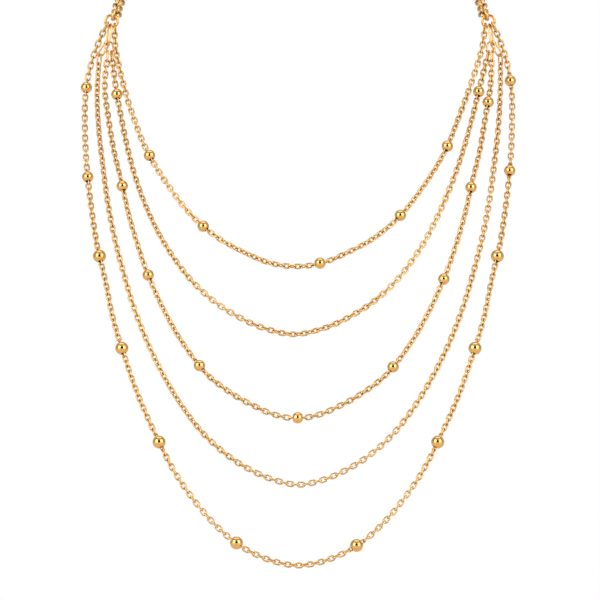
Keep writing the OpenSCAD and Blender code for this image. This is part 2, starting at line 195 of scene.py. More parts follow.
def share_prop(label, words, value):
    return FloatProperty(
        name=label, description=words, default=value, min=0, max=1, subtype="FACTOR"
    )


class NecklaceSizes(bpy.types.PropertyGroup):
    """Sizes of the necklace."""

    ring_span: length_prop("Ring span", "Distance between the two strand rings", 106, 96, 118)
    ring_depth: length_prop("Ring depth", "Distance of the rings before the nape", 70, 60, 80)
    nape_rise: length_prop("Nape rise", "Height of the nape above the rings", 22, 14, 30)
    throat_depth: length_prop("Throat depth", "Distance of the throat before the rings", 26, 22, 32)
    neck_flare: length_prop("Neck flare", "Drop over which the neck opens out", 60, 50, 70)
    chest_slope: FloatProperty(
        name="Chest slope",
        description="How far the chest comes forward for each length down",
        default=0.2,
        min=0.15,
        max=0.26,
    )
    drops: FloatVectorProperty(
        name="Drops",
        description="Drop of each strand from the ring centres to its lowest point",
        default=(69 * MM, 88 * MM, 111.5 * MM, 130 * MM, 152.5 * MM),
        size=5,
        min=60 * MM,
        max=170 * MM,
        unit="LENGTH",
    )
    link_wire: length_prop("Link wire", "Wire of the strand links", 0.44, 0.36, 0.52)
    link_width: length_prop("Link width", "Outer width of a strand link", 1.78, 1.5, 2.1)
    link_pitch: length_prop("Link pitch", "Length that each link adds", 1.58, 1.52, 1.9)
    link_turn: FloatProperty(
        name="Link turn",
        description="Turn of the links about the chain, halfway down each side",
        default=math.radians(45),
        min=0,
        max=math.radians(60),
        subtype="ANGLE",
    )
    link_play: FloatProperty(
        name="Link play",
        description="How far a loose link may turn about the chain by chance",
        default=math.radians(5),
        min=0,
        max=math.radians(10),
        subtype="ANGLE",
    )
    seed: IntProperty(name="Seed", description="Start of the chance turns", default=7, min=0)
    bead_d: length_prop("Bead", "Bead diameter", 3.2, 3, 3.5)
    large_bead_d: length_prop("Large bead", "Diameter of the larger beads", 3.65, 3.4, 4)
    bead_wire: length_prop("Bead link wire", "Wire of the link through a bead", 0.38, 0.34, 0.42)
    bead_reach: length_prop("Bead reach", "Bead link past its bead on each side", 0.75, 0.65, 1.1)
    ring_d: length_prop("Strand ring", "Outer diameter of the strand rings", 4.2, 4, 4.8)
    ring_wire: length_prop("Strand ring wire", "Wire of the strand rings", 0.76, 0.68, 0.8)
    tie_d: length_prop("Tie ring", "Outer diameter of the tie rings", 3.5, 3.45, 4.2)
    tie_wire: length_prop("Tie ring wire", "Wire of the tie rings", 0.76, 0.68, 0.78)
    long_length: length_prop("Long link", "Outer length of the long link", 6.6, 6, 7.2)
    long_width: length_prop("Long link width", "Outer width of the long link", 3, 2.9, 3.3)
    long_wire: length_prop("Long link wire", "Wire of the long link", 0.55, 0.5, 0.58)
    inner_length: length_prop("Inner link", "Outer length of the inner link", 4.2, 4, 4.8)
    inner_width: length_prop("Inner link width", "Outer width of the inner link", 2.9, 2.8, 3.2)
    outer_length: length_prop("Outer link", "Outer length of the outer link", 5.2, 4.6, 5.6)
    outer_width: length_prop("Outer link width", "Outer width of the outer link", 2.5, 2.4, 2.8)
    short_wire: length_prop("Short link wire", "Wire of these two links", 0.5, 0.45, 0.54)
    end_length: length_prop("End link", "Outer length of a strand's end link", 3.7, 3.5, 4.2)
    end_wire: length_prop("End link wire", "Wire of the end links", 0.45, 0.4, 0.48)
    back_length: length_prop("Back link", "Outer length of a back link", 4.8, 4.4, 5.4)
    back_width: length_prop("Back link width", "Outer width of a back link", 3.2, 3, 3.6)
    back_wire: length_prop("Back link wire", "Wire of the back links", 0.75, 0.65, 0.8)
    clasp_d: length_prop("Clasp", "Outer diameter of the clasp", 6.4, 5.8, 7.5)
    clasp_wire: length_prop("Clasp body", "Thickness of the clasp's body", 1.4, 1.2, 1.6)
    eye_d: length_prop("Eye", "Outer diameter of the clasp's eyes", 2.7, 2.6, 3.2)
    eye_wire: length_prop("Eye wire", "Wire of the eyes", 0.65, 0.55, 0.7)
    link_gap: length_prop("Link gap", "Gap between wires that pull on each other", 0.12, 0.1, 0.15)
    hook_gap: length_prop("Hook gap", "Gap where a link hangs on a bent wire", 0.2, 0.18, 0.24)
    side_play: length_prop("Side play", "Gap beside the wire in an end link", 0.14, 0.12, 0.18)
    bead_play: length_prop("Bead play", "Gap beside the link in a bead's bore", 0.06, 0.04, 0.14)


class GoldFinish(bpy.types.PropertyGroup):
    """Colours and polish of the gold."""

    chain_tone: colour_prop("Chain gold", "Colour of the fine chains", (0.85, 0.53, 0.175))
    chain_deep: colour_prop("Deep chain gold", "Their darker patches", (0.86, 0.46, 0.13))
    bead_tone: colour_prop("Bead gold", "Colour of the beads", (0.90, 0.52, 0.17))
    bead_deep: colour_prop("Deep bead gold", "Their darker patches", (0.88, 0.48, 0.14))
    ring_tone: colour_prop("Ring gold", "Colour of the rings and links", (0.90, 0.53, 0.18))
    ring_deep: colour_prop("Deep ring gold", "Their darker patches", (0.86, 0.46, 0.13))
    # Painted shade: a near-black brown laid on the gold where other parts hem it in, standing in
    # for shadow
    painted_shade_colour: colour_prop("Painted_shade", "Colour of the gold where links touch", (0.12, 0.045, 0.01))
    chain_rough: share_prop("Chain roughness", "Roughness of the fine chains", 0.32)
    bead_rough: share_prop("Bead roughness", "Roughness of the polished beads", 0.07)
    ring_rough: share_prop("Ring roughness", "Roughness of the rings and links", 0.16)


class StageLook(bpy.types.PropertyGroup):
    """Floor, light and camera."""

    floor_tone: colour_prop("Floor", "Colour of the floor", (0.8, 0.8, 0.8))
    surround: share_prop("Surround", "Brightness of the room that the gold mirrors", 0.53)
    shade: share_prop("Shade", "Brightness of the dark card before the necklace", 0.02)
    floor_drop: length_prop("Floor drop", "Height of the nape above the floor", 215, 190, 400)
    floor_radius: length_prop("Floor radius", "Radius of the floor", 1400, 500, 5000)
    box_power: FloatProperty(
        name="Soft box power",
        description="Power of each of the two front soft boxes, in watts",
        default=26,
        min=0,
        max=1000,
    )
    top_power: FloatProperty(
        name="Top light power",
        description="Power of the light above, in watts",
        default=6,
        min=0,
        max=1000,
    )
    eye_distance: length_prop("Eye distance", "Distance of the camera", 8070, 2000, 20000)
    eye_height: length_prop("Eye height", "Depth of the camera below the nape", 100.37, 0, 200)
    view_width: length_prop("View width", "Width seen at the rings", 168.72, 100, 400)


def cross_to(v, axis):
    """The part of v that is square to a unit axis, as a unit vector."""
    return (v - axis * v.dot(axis)).normalized()


def flip(p):
    return Vector((-p.x, p.y, p.z))


def cosd(a):
    return math.cos(math.radians(a))


def sind(a):
    return math.sin(math.radians(a))


def ring_centre(s):
    return Vector((s.ring_span / 2, -s.ring_depth, -s.nape_rise))


def ring_radius(s):
    return (s.ring_d - s.ring_wire) / 2


def on_skin(s, x, z):
    """Point of the neck and chest at x, and at a height measured from the ring centres."""
    opened = s.throat_depth * (2 * x / s.ring_span) ** 2 / (1 + (z / s.neck_flare) ** 2)
    y = -s.ring_depth - s.throat_depth + s.chest_slope * z + opened
    return Vector((x, y, z - s.nape_rise))


def seat_at(s, centre, wire, axis):
    return centre - axis * ((wire + s.link_gap) / 2)


def seat_on(s, hook, axis, own_wire):
    """Where a link of own_wire that pulls along axis touches the wire of its hook."""
    slope = hook.run.dot(axis)
    apart = (hook.wire + own_wire) / 2 + s.hook_gap
    return hook.centre - axis * (apart / math.sqrt(1 - slope**2) - (own_wire + s.link_gap) / 2)


def connector(s, hook, aim, yaw, length, width, wire):
    """A connector link that hangs on a hook and points to a place near the skin."""
    target = on_skin(s, s.ring_span / 2 + aim[0], -aim[1]) + FRONT * aim[2]
    axis = (target - hook.centre).normalized()
    seat = seat_on(s, hook, axis, wire)
    centre = seat + axis * ((length - 2 * wire - s.link_gap) / 2)
    side = cross_to(Vector((cosd(yaw), sind(yaw), 0)), axis)
    return Link(centre, axis, side, length, width, wire)


def on_ring(s, deg):
    """The hook on the strand ring, deg out from straight down."""
    place = Vector((sind(deg), 0, -cosd(deg))) * ring_radius(s)
    return Hook(ring_centre(s) + place, s.ring_wire, Vector((cosd(deg), 0, sind(deg))))


def on_bend(link, deg):
    """The hook on a connector link's lower bend, deg towards its outer side."""
    r = (link.width - link.wire) / 2
    bend_centre = link.centre + link.axis * ((link.length - link.width) / 2)
    place = (link.axis * cosd(deg) + link.side * sind(deg)) * r
    return Hook(bend_centre + place, link.wire, link.side * cosd(deg) - link.axis * sind(deg))


def connectors(s):
    """The long, inner and outer connector links of the right side."""
    long_link = connector(
        s, on_ring(s, HOOK_LONG_LINK), LONG_AIM, LONG_YAW,
        s.long_length, s.long_width, s.long_wire,
    )
    inner_link = connector(
        s, on_bend(long_link, HOOK_INNER_LINK), INNER_AIM, INNER_YAW,
        s.inner_length, s.inner_width, s.short_wire,
    )
    outer_link = connector(
        s, on_bend(long_link, HOOK_OUTER_LINK), OUTER_AIM, OUTER_YAW,
        s.outer_length, s.outer_width, s.short_wire,
    )
    return {"long_link": long_link, "inner_link": inner_link, "outer_link": outer_link}


def strand_hook(s, n):
    """Where strand n hooks on, on the right."""
    links = connectors(s)
    return (
        on_ring(s, HOOK_STRAND_1),
        on_bend(links["inner_link"], HOOK_STRAND_2),
        on_bend(links["inner_link"], HOOK_STRAND_3),
        on_bend(links["outer_link"], 0),
        on_ring(s, HOOK_STRAND_5),
    )[n - 1]


def smooth(points, steps):
    """A smooth curve through a list of points."""
    p = [2 * points[0] - points[1], *points, 2 * points[-1] - points[-2]]
    curve = []
    for a, b, c, d in zip(p, p[1:], p[2:], p[3:]):
        for j in range(steps):
            t = j / steps
            curve.append(
                (2 * b + (c - a) * t + (2 * a - 5 * b + 4 * c - d) * t**2
                 + (3 * b - a - 3 * c + d) * t**3) / 2
            )
    return curve + [points[-1]]


class Track:
    """A curve kept as points, with the length run up to each."""

    def __init__(self, points):
        self.points = points
        self.runs = [0.0]
        for a, b in zip(points, points[1:]):
            self.runs.append(self.runs[-1] + (b - a).length)
        self.length = self.runs[-1]

    def at(self, run):
        i = min(max(bisect_right(self.runs, run) - 1, 0), len(self.points) - 2)
        share = (run - self.runs[i]) / (self.runs[i + 1] - self.runs[i])
        return self.points[i].lerp(self.points[i + 1], share)

    def nearest(self, x, z):
        """Length along the track at the point nearest to x and z, as seen from the front."""
        off = [math.hypot(p.x - x, p.z - z) for p in self.points]
        return self.runs[off.index(min(off))]


def strand_point(s, n, share, side):
    down = share[1] * s.drops[n - 1]
    lean, over = LEANS[n - 1]
    return on_skin(s, side * share[0] * s.ring_span / 2 + lean * min(1, down / over), -down)


def strand_track(s, n):
    rows = ROUTES[n - 1]
    hook = strand_hook(s, n)
    left = [strand_point(s, n, row, -1) for row in rows]
    right = [strand_point(s, n, row, 1) for row in reversed(rows[:-1])]
    axis = (strand_point(s, n, rows[0], 1) - hook.centre).normalized()
    tip = seat_on(s, hook, axis, s.end_wire)
    return Track(smooth([flip(tip), *left, *right, tip], ROUTE_STEPS))


def bead_size(s, n, b):
    return s.large_bead_d if n == LARGE_STRAND and b in LARGE_BEADS else s.bead_d


def bead_link_width(s):
    return 2 * s.bead_wire + s.link_wire + 2 * s.bead_play


def bead_link_ends(s, n, track):
    """Lengths along the strand at which the long link through each bead starts and ends."""
    ends = []
    for b, (x, z) in enumerate(BEADS[n - 1], 1):
        mark = track.nearest(x * s.ring_span / 2, -s.nape_rise - z * s.drops[n - 1])
        half = bead_size(s, n, b) / 2 + s.bead_reach
        ends.append((mark - half, mark + half))
    return ends


def end_reach(s):
    return s.end_length - 2 * s.end_wire - s.link_gap


def link_between(s, a, b, roll, facing, width, wire):
    """A link whose two neighbours touch it at a and at b."""
    axis = (b - a).normalized()
    flat = axis.cross(facing).normalized()
    side = flat * math.cos(roll) + flat.cross(axis) * math.sin(roll)
    length = (b - a).length + 2 * wire + s.link_gap
    return Link((a + b) / 2, axis, side, length, width, wire)


def end_roll(s, n, track, side):
    """The roll of a strand's end link, which stands square to its hook's wire."""
    reach = end_reach(s)
    run = strand_hook(s, n).run
    if side < 0:
        axis = (track.at(reach) - track.at(0)).normalized()
        run = flip(run)
    else:
        axis = (track.at(track.length) - track.at(track.length - reach)).normalized()
    flat = axis.cross(FRONT).normalized()
    wide = run.cross(axis)
    return math.atan2(wide.dot(flat.cross(axis)), wide.dot(flat))


def link_roll(k, last, first_roll, last_roll, turn):
    """The roll of link k: each link is square to the last one, and the ends have their own."""
    drift = last_roll - first_roll - math.pi / 2 * last
    drift -= math.pi * round(drift / math.pi)
    swell = turn * math.sin(2 * math.pi * k / last) ** 2
    return first_roll + drift * k / last + math.pi / 2 * k + swell


def strand_links(s, n, track, chance):
    """All links of a strand, from its left end to its right end."""
    reach = end_reach(s)
    bead_ends = [end for pair in bead_link_ends(s, n, track) for end in pair]
    ends = [reach, *bead_ends, track.length - reach]
    marks = [0.0]
    for a, b in zip(ends[0::2], ends[1::2]):
        count = round((b - a) / s.link_pitch)
        marks += [a + (b - a) * k / count for k in range(count + 1)]
    marks.append(track.length)
    last = len(marks) - 2
    end_width = strand_hook(s, n).wire + 3 * s.side_play + 2 * s.end_wire
    first_roll, last_roll = (end_roll(s, n, track, side) for side in (-1, 1))
    links = []
    for k in range(last + 1):
        a, b = track.at(marks[k]), track.at(marks[k + 1])
        roll = link_roll(k, last, first_roll, last_roll, s.link_turn)
        if k in (0, last):
            links.append(link_between(s, a, b, roll, FRONT, end_width, s.end_wire))
        elif marks[k + 1] - marks[k] > s.bead_d:
            links.append(link_between(s, a, b, roll, FRONT, bead_link_width(s), s.bead_wire))
        else:
            roll += chance.uniform(-s.link_play, s.link_play)
            links.append(link_between(s, a, b, roll, FRONT, s.link_width, s.link_wire))
    return links


def tie_place(s):
    """Centre, axis and pull of the right tie ring."""
    lean_in = Vector((-sind(TIE_LEAN), 0, cosd(TIE_LEAN)))
    back = Vector((0, 1, 0))
    swing = back * cosd(TIE_TURN) + lean_in.cross(back) * sind(TIE_TURN)
    pull = lean_in * cosd(TIE_PULL) + swing * sind(TIE_PULL)
    axis = lean_in.cross(pull).normalized()
    slant = Vector((lean_in.z, 0, -lean_in.x)).cross(axis.cross(pull)).normalized()
    apart = ((s.tie_wire + s.ring_wire) / 2 + s.link_gap) / abs(slant.dot(pull))
    rim = ring_centre(s) + lean_in * ring_radius(s)
    centre = rim + pull * ((s.tie_d - s.tie_wire) / 2 - apart)
    return centre, axis, lean_in, pull


def back_links(s):
    """The links of the right back chain, from the tie ring to the clasp's eye."""
    centre, _, _, pull = tie_place(s)
    start = centre + pull * (s.tie_d - s.tie_wire) / 2
    clasp_r, eye_r = (s.clasp_d - s.clasp_wire) / 2, (s.eye_d - s.eye_wire) / 2
    end = Vector((clasp_r + s.clasp_wire / 2 + 2 * eye_r, s.clasp_wire / 2, 0))
    line = []
    for k in range(BACK_STEPS + 1):
        a = 90 * k / BACK_STEPS
        rise = (end - start) * sind(a)
        x = end.x + (start.x - end.x) * cosd(a)
        line.append(Vector((x, start.y + rise.y, start.z + rise.z)))
    first = seat_at(s, start, s.tie_wire, (line[1] - line[0]).normalized())
    track = Track([first, *line[1:-1], seat_at(s, end, s.eye_wire, Vector((1, 0, 0)))])
    count = round(track.length / (s.back_length - 2 * s.back_wire - s.link_gap))
    step = track.length / count
    rolls = [math.radians(r) for r in BACK_ROLLS]
    return [
        link_between(
            s, track.at(k * step), track.at((k + 1) * step),
            link_roll(k, count - 1, rolls[0], rolls[1], 0), UP, s.back_width, s.back_wire,
        )
        for k in range(count)
    ]


def stand(centre, axis, side):
    """The matrix that puts a shape's Z along axis and its X along side."""
    turned = Matrix((side, axis.cross(side), axis)).transposed()
    return Matrix.Translation(centre) @ turned.to_4x4()


def wire_loop(diameter, wire, steps, sides):
    """A bmesh of a closed round wire in the XZ plane, spun from one circle. None of its
    sections lies at Z = 0, so that its two halves can be drawn apart into an oval."""
    # A section with as much area as the round wire, whose few sides would make it look thin
    radius = wire / 2 * math.sqrt(2 * math.pi / (sides * math.sin(2 * math.pi / sides)))
    bm = bmesh.new()
    bmesh.ops.create_circle(bm, segments=sides, radius=radius)
    bmesh.ops.translate(bm, verts=bm.verts, vec=((diameter - wire) / 2, 0, 0))
    half_step = Matrix.Rotation(math.pi / steps, 3, "Y")
    bmesh.ops.rotate(bm, verts=bm.verts, cent=(0, 0, 0), matrix=half_step)
    bmesh.ops.spin(
        bm, geom=bm.verts[:] + bm.edges[:], cent=(0, 0, 0), axis=(0, 1, 0),
        angle=2 * math.pi, steps=steps, use_merge=True,
    )
    bmesh.ops.recalc_face_normals(bm, faces=bm.faces)
    return bm


def oval_link(link, steps, sides):
    """A bmesh of one link at its place."""
    bm = wire_loop(link.width, link.wire, steps, sides)
    run = (link.length - link.width) / 2
    for turn in (-1, 1):
        half = [v for v in bm.verts if v.co.z * turn > 0]
        bmesh.ops.translate(bm, verts=half, vec=(0, 0, run * turn))
    bmesh.ops.transform(bm, matrix=stand(link.centre, link.axis, link.side), verts=bm.verts)
    return bm


def joined(shapes):
    """One bmesh of many."""
    whole = bmesh.new()
    for shape in shapes:
        mesh = bpy.data.meshes.new("part")
        shape.to_mesh(mesh)
        shape.free()
        whole.from_mesh(mesh)
        bpy.data.meshes.remove(mesh)
    return whole


def mirrored(bm):
    """The same shape on the left, with its faces outwards again."""
    bmesh.ops.scale(bm, vec=(-1, 1, 1), verts=bm.verts)
    bmesh.ops.reverse_faces(bm, faces=bm.faces)
    return bm


def finish_piece(bm, name, material, slot, *nodes):
    """Makes an object of a bmesh, which replaces its CAD nodes and rides with the necklace."""
    mesh = bpy.data.meshes.new(name)
    for face in bm.faces:
        face.smooth = True
    bm.to_mesh(mesh)
    bm.free()
    mesh.materials.append(material)
    piece = bpy.data.objects.new(name, mesh)
    bpy.context.scene.collection.objects.link(piece)
    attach(piece, "root")
    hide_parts(*nodes)


def group_socket(group, name, way, value=None):
    """Adds a number to a group's inputs or outputs."""
    socket = group.interface.new_socket(name=name, in_out=way, socket_type="NodeSocketFloat")
    if value is not None:
        socket.default_value = value


def ramp(nodes, low, high, falling=False):
    """A node that rises evenly from low to high, or falls from 1 to 0 with a soft step."""
    step = nodes.new("ShaderNodeMapRange")
    step.inputs["From Min"].default_value = low
    step.inputs["From Max"].default_value = high
    if falling:
        step.interpolation_type = "SMOOTHSTEP"
        step.inputs["To Min"].default_value = 1
        step.inputs["To Max"].default_value = 0
    return step


def tone_patches():
    """Shader node group: soft patches where the plating is a little deeper."""
    group = bpy.data.node_groups.get("Tone patches")
    if group:
        return group
    group = bpy.data.node_groups.new("Tone patches", "ShaderNodeTree")
    group_socket(group, "Patches per metre", "INPUT", 300)
    group_socket(group, "Amount", "INPUT", 0.5)
    group_socket(group, "Mask", "OUTPUT")
    nodes, links = group.nodes, group.links
    into, out = nodes.new("NodeGroupInput"), nodes.new("NodeGroupOutput")
    place = nodes.new("ShaderNodeTexCoord")
    noise = nodes.new("ShaderNodeTexNoise")
    noise.inputs["Detail"].default_value = 2
    noise.inputs["Roughness"].default_value = 0.6
    spread = ramp(nodes, 0.35, 0.65)
    links.new(place.outputs["Object"], noise.inputs["Vector"])
    links.new(into.outputs["Patches per metre"], noise.inputs["Scale"])
    links.new(noise.outputs["Fac"], spread.inputs["Value"])
    links.new(into.outputs["Amount"], spread.inputs["To Max"])
    links.new(spread.outputs["Result"], out.inputs["Mask"])
    return group


def polish_marks():
    """Shader node group: the faint waves and hairlines that polishing leaves."""
    group = bpy.data.node_groups.get("Polish marks")
    if group:
        return group
    group = bpy.data.node_groups.new("Polish marks", "ShaderNodeTree")
    group_socket(group, "Marks per metre", "INPUT", 2500)
    group_socket(group, "Smooth", "INPUT", 0.1)
    group_socket(group, "Worn", "INPUT", 0.2)
    group_socket(group, "Height", "OUTPUT")
    group_socket(group, "Roughness", "OUTPUT")
    nodes, links = group.nodes, group.links
    into, out = nodes.new("NodeGroupInput"), nodes.new("NodeGroupOutput")
    place = nodes.new("ShaderNodeTexCoord")
    waves = nodes.new("ShaderNodeTexNoise")
    waves.inputs["Detail"].default_value = 3
    rough = ramp(nodes, 0.3, 0.7)
    links.new(place.outputs["Object"], waves.inputs["Vector"])
    links.new(into.outputs["Marks per metre"], waves.inputs["Scale"])
    links.new(waves.outputs["Fac"], rough.inputs["Value"])
    links.new(into.outputs["Smooth"], rough.inputs["To Min"])
    links.new(into.outputs["Worn"], rough.inputs["To Max"])
    links.new(waves.outputs["Fac"], out.inputs["Height"])
    links.new(rough.outputs["Result"], out.inputs["Roughness"])
    return group


def painted_crevice_shade():
    """Shader node group: mask of the painted shade, where the surface is hemmed in by others within
    a short reach.
    """
    group = bpy.data.node_groups.get("Painted_crevice_shade")
    if group:
        return group
    group = bpy.data.node_groups.new("Painted_crevice_shade", "ShaderNodeTree")
    group_socket(group, "Reach", "INPUT", 0.5 * MM)
    group_socket(group, "Mask", "OUTPUT")
    nodes, links = group.nodes, group.links
    into, out = nodes.new("NodeGroupInput"), nodes.new("NodeGroupOutput")
    open_sky = nodes.new("ShaderNodeAmbientOcclusion")
    open_sky.samples = 8
    step = ramp(nodes, 0.4, 0.6, falling=True)
    links.new(into.outputs["Reach"], open_sky.inputs["Distance"])
    links.new(open_sky.outputs["AO"], step.inputs["Value"])
    links.new(step.outputs["Result"], out.inputs["Mask"])
    return group


def gold(name, tone, deep, painted_shade_colour, roughness, surface):
    """A gold-plated metal with its own tone, patches, painted shade where other parts hem it in,
    and polish.
    """
    material = bpy.data.materials.get(name)
    if material:
        return material
    material = bpy.data.materials.new(name)
    material.use_nodes = True
    nodes, links = material.node_tree.nodes, material.node_tree.links
    shader = nodes["Principled BSDF"]
    shader.inputs["Metallic"].default_value = 1.0
    tones = nodes.new("ShaderNodeGroup")
    tones.node_tree = tone_patches()
    tones.inputs["Patches per metre"].default_value = surface.patches
    tones.inputs["Amount"].default_value = PATCH_AMOUNT
    mix = nodes.new("ShaderNodeMix")
    mix.data_type = "RGBA"
    mix.inputs["A"].default_value = (*tone, 1)
    mix.inputs["B"].default_value = (*deep, 1)
    polish = nodes.new("ShaderNodeGroup")
    polish.node_tree = polish_marks()
    polish.inputs["Marks per metre"].default_value = surface.marks
    polish.inputs["Smooth"].default_value = roughness * SMOOTH_SHARE
    polish.inputs["Worn"].default_value = roughness * WORN_SHARE
    relief = nodes.new("ShaderNodeBump")
    relief.inputs["Strength"].default_value = surface.relief
    relief.inputs["Distance"].default_value = RELIEF_DEPTH
    links.new(tones.outputs["Mask"], mix.inputs["Factor"])
    # Painted shade: the base colour darkens towards the shade colour where ambient occlusion finds
    # other parts close by
    painted_shade_mask = nodes.new("ShaderNodeGroup")
    painted_shade_mask.node_tree = painted_crevice_shade()
    painted_shade_mask.inputs["Reach"].default_value = surface.reach
    painted_shade_mix = nodes.new("ShaderNodeMix")
    painted_shade_mix.data_type = "RGBA"
    painted_shade_mix.inputs["B"].default_value = (*painted_shade_colour, 1)
    links.new(painted_shade_mask.outputs["Mask"], painted_shade_mix.inputs["Factor"])
    links.new(mix.outputs["Result"], painted_shade_mix.inputs["A"])
    links.new(painted_shade_mix.outputs["Result"], shader.inputs["Base Color"])
    links.new(polish.outputs["Roughness"], shader.inputs["Roughness"])
    links.new(polish.outputs["Height"], relief.inputs["Height"])
    links.new(relief.outputs["Normal"], shader.inputs["Normal"])
    return material


def chain_gold(context):
    f = context.scene.gold_finish
    return gold(
        "Chain gold", f.chain_tone, f.chain_deep, f.painted_shade_colour, f.chain_rough, CHAIN_SURFACE
    )


def bead_gold(context):
    f = context.scene.gold_finish
    return gold(
        "Bead gold", f.bead_tone, f.bead_deep, f.painted_shade_colour, f.bead_rough, BEAD_SURFACE
    )


def ring_gold(context):
    f = context.scene.gold_finish
    return gold(
        "Ring gold", f.ring_tone, f.ring_deep, f.painted_shade_colour, f.ring_rough, RING_SURFACE
    )


class NECKLACE_OT_strands(bpy.types.Operator):
    """Makes the five strands link by link"""

    bl_idname = "necklace.strands"
    bl_label = "Strands"

    def execute(self, context):
        s = context.scene.necklace_sizes
        chance = random.Random(s.seed)
        for n in STRANDS:
            links = strand_links(s, n, strand_track(s, n), chance)
            chain = joined(oval_link(link, FINE_STEPS, FINE_SIDES) for link in links)
            finish_piece(
                chain, f"strand_{n}_chain", chain_gold(context), "strand_chain", f"strand_{n}"
            )
        return {"FINISHED"}


def drilled_bead(s, size):
    """A bmesh of a ball about the origin, with a bore along Z and softened bore edges."""
    bore = bead_link_width(s) / 2 + s.bead_play
    bm = bmesh.new()
    bmesh.ops.create_circle(bm, segments=BEAD_POINTS, radius=size / 2)
    upright = Matrix.Rotation(math.pi / 2, 3, "X")
    bmesh.ops.rotate(bm, verts=bm.verts, cent=(0, 0, 0), matrix=upright)
    bmesh.ops.bisect_plane(
        bm, geom=bm.verts[:] + bm.edges[:], dist=1e-7, plane_co=(bore, 0, 0),
        plane_no=(1, 0, 0), clear_inner=True,
    )
    rims = [v for v in bm.verts if len(v.link_edges) == 1]
    bmesh.ops.contextual_create(bm, geom=rims)
    bmesh.ops.spin(
        bm, geom=bm.verts[:] + bm.edges[:], cent=(0, 0, 0), axis=(0, 0, 1),
        angle=2 * math.pi, steps=BEAD_STEPS, use_merge=True,
    )
    bmesh.ops.recalc_face_normals(bm, faces=bm.faces)
    rim_edges = [
        e for e in bm.edges
        if e.calc_face_angle(0) > math.radians(30)
        and all(math.hypot(v.co.x, v.co.y) < bore * 1.02 for v in e.verts)
    ]
    bmesh.ops.bevel(
        bm, geom=rim_edges, offset=BORE_BEVEL, segments=2, profile=0.5, affect="EDGES",
        material=-1, clamp_overlap=True,
    )
    return bm


class NECKLACE_OT_beads(bpy.types.Operator):
    """Makes the round beads along the strands"""

    bl_idname = "necklace.beads"
    bl_label = "Beads"

    def execute(self, context):
        s = context.scene.necklace_sizes
        for n in STRANDS:
            track = strand_track(s, n)
            for b, ends in enumerate(bead_link_ends(s, n, track), 1):
                low, high = (track.at(end) for end in ends)
                axis = (high - low).normalized()
                bead = drilled_bead(s, bead_size(s, n, b))
                place = stand((low + high) / 2, axis, axis.cross(FRONT).normalized())
                bmesh.ops.transform(bead, matrix=place, verts=bead.verts)
                name = f"strand_{n}_bead_{b}"
                finish_piece(bead, f"{name}_ball", bead_gold(context), "polished_bead", name)
        return {"FINISHED"}


class NECKLACE_OT_rings(bpy.types.Operator):
    """Makes the strand ring and the tie ring of each side"""

    bl_idname = "necklace.rings"
    bl_label = "Rings"

    def execute(self, context):
        s = context.scene.necklace_sizes
        tie_centre, tie_axis, tie_side, _ = tie_place(s)
        across = Vector((1, 0, 0))
        for side, word in SIDES:
            # wire_loop lies square to Y, so the ring's own axis goes there
            rings = {
                "strand_ring": (s.ring_d, s.ring_wire, ring_centre(s), FRONT, across),
                "tie_ring": (s.tie_d, s.tie_wire, tie_centre, tie_axis, tie_side),
            }
            for name, (diameter, wire, centre, axis, along) in rings.items():
                ring = wire_loop(diameter, wire, LARGE_STEPS, LARGE_SIDES)
                place = stand(centre, axis.cross(along), along)
                bmesh.ops.transform(ring, matrix=place, verts=ring.verts)
                if side < 0:
                    mirrored(ring)
                node = f"{name}_{word}"
                finish_piece(ring, f"{node}_wire", ring_gold(context), "ring_and_link", node)
        return {"FINISHED"}


class NECKLACE_OT_connector_links(bpy.types.Operator):
    """Makes the long, inner and outer connector link of each side"""

    bl_idname = "necklace.connector_links"
    bl_label = "Connector links"

    def execute(self, context):
        s = context.scene.necklace_sizes
        for side, word in SIDES:
            for name, link in connectors(s).items():
                shape = oval_link(link, LARGE_STEPS, LARGE_SIDES)
                if side < 0:
                    mirrored(shape)
                node = f"{name}_{word}"
                finish_piece(shape, f"{node}_wire", ring_gold(context), "ring_and_link", node)
        return {"FINISHED"}


class NECKLACE_OT_back_chain(bpy.types.Operator):
    """Makes both halves of the back chain"""

    bl_idname = "necklace.back_chain"
    bl_label = "Back chain"

    def execute(self, context):
        s = context.scene.necklace_sizes
        for side, word in SIDES:
            chain = joined(
                oval_link(link, BACK_LINK_STEPS, BACK_LINK_SIDES) for link in back_links(s)
            )
            if side < 0:
                mirrored(chain)
            node = f"back_chain_{word}"
            finish_piece(chain, f"{node}_links", ring_gold(context), "back_chain", node)
        return {"FINISHED"}


class NECKLACE_OT_clasp(bpy.types.Operator):
    """Gives the clasp of the frame its gold"""

    bl_idname = "necklace.clasp"
    bl_label = "Clasp"

    def execute(self, context):
        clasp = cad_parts["clasp"]
        for slot in clasp.material_slots:
            slot.material = ring_gold(context)
        return {"FINISHED"}


def floor_material(tone):
    material = bpy.data.materials.new("Pale floor")
    material.use_nodes = True
    shader = material.node_tree.nodes["Principled BSDF"]
    shader.inputs["Base Color"].default_value = (*tone, 1)
    shader.inputs["Roughness"].default_value = 0.6
    return material


def soft_box(name, power, size, place):
    """A rectangular light that faces the necklace."""
    data = bpy.data.lights.new(name, "AREA")
    data.shape = "RECTANGLE"
    data.size, data.size_y = size
    data.energy = power
    light = bpy.data.objects.new(name, data)
    light.location = place
    light.visible_camera = False
    light.rotation_euler = (Vector(place) - LIGHT_TARGET).to_track_quat("Z", "Y").to_euler()
    bpy.context.scene.collection.objects.link(light)


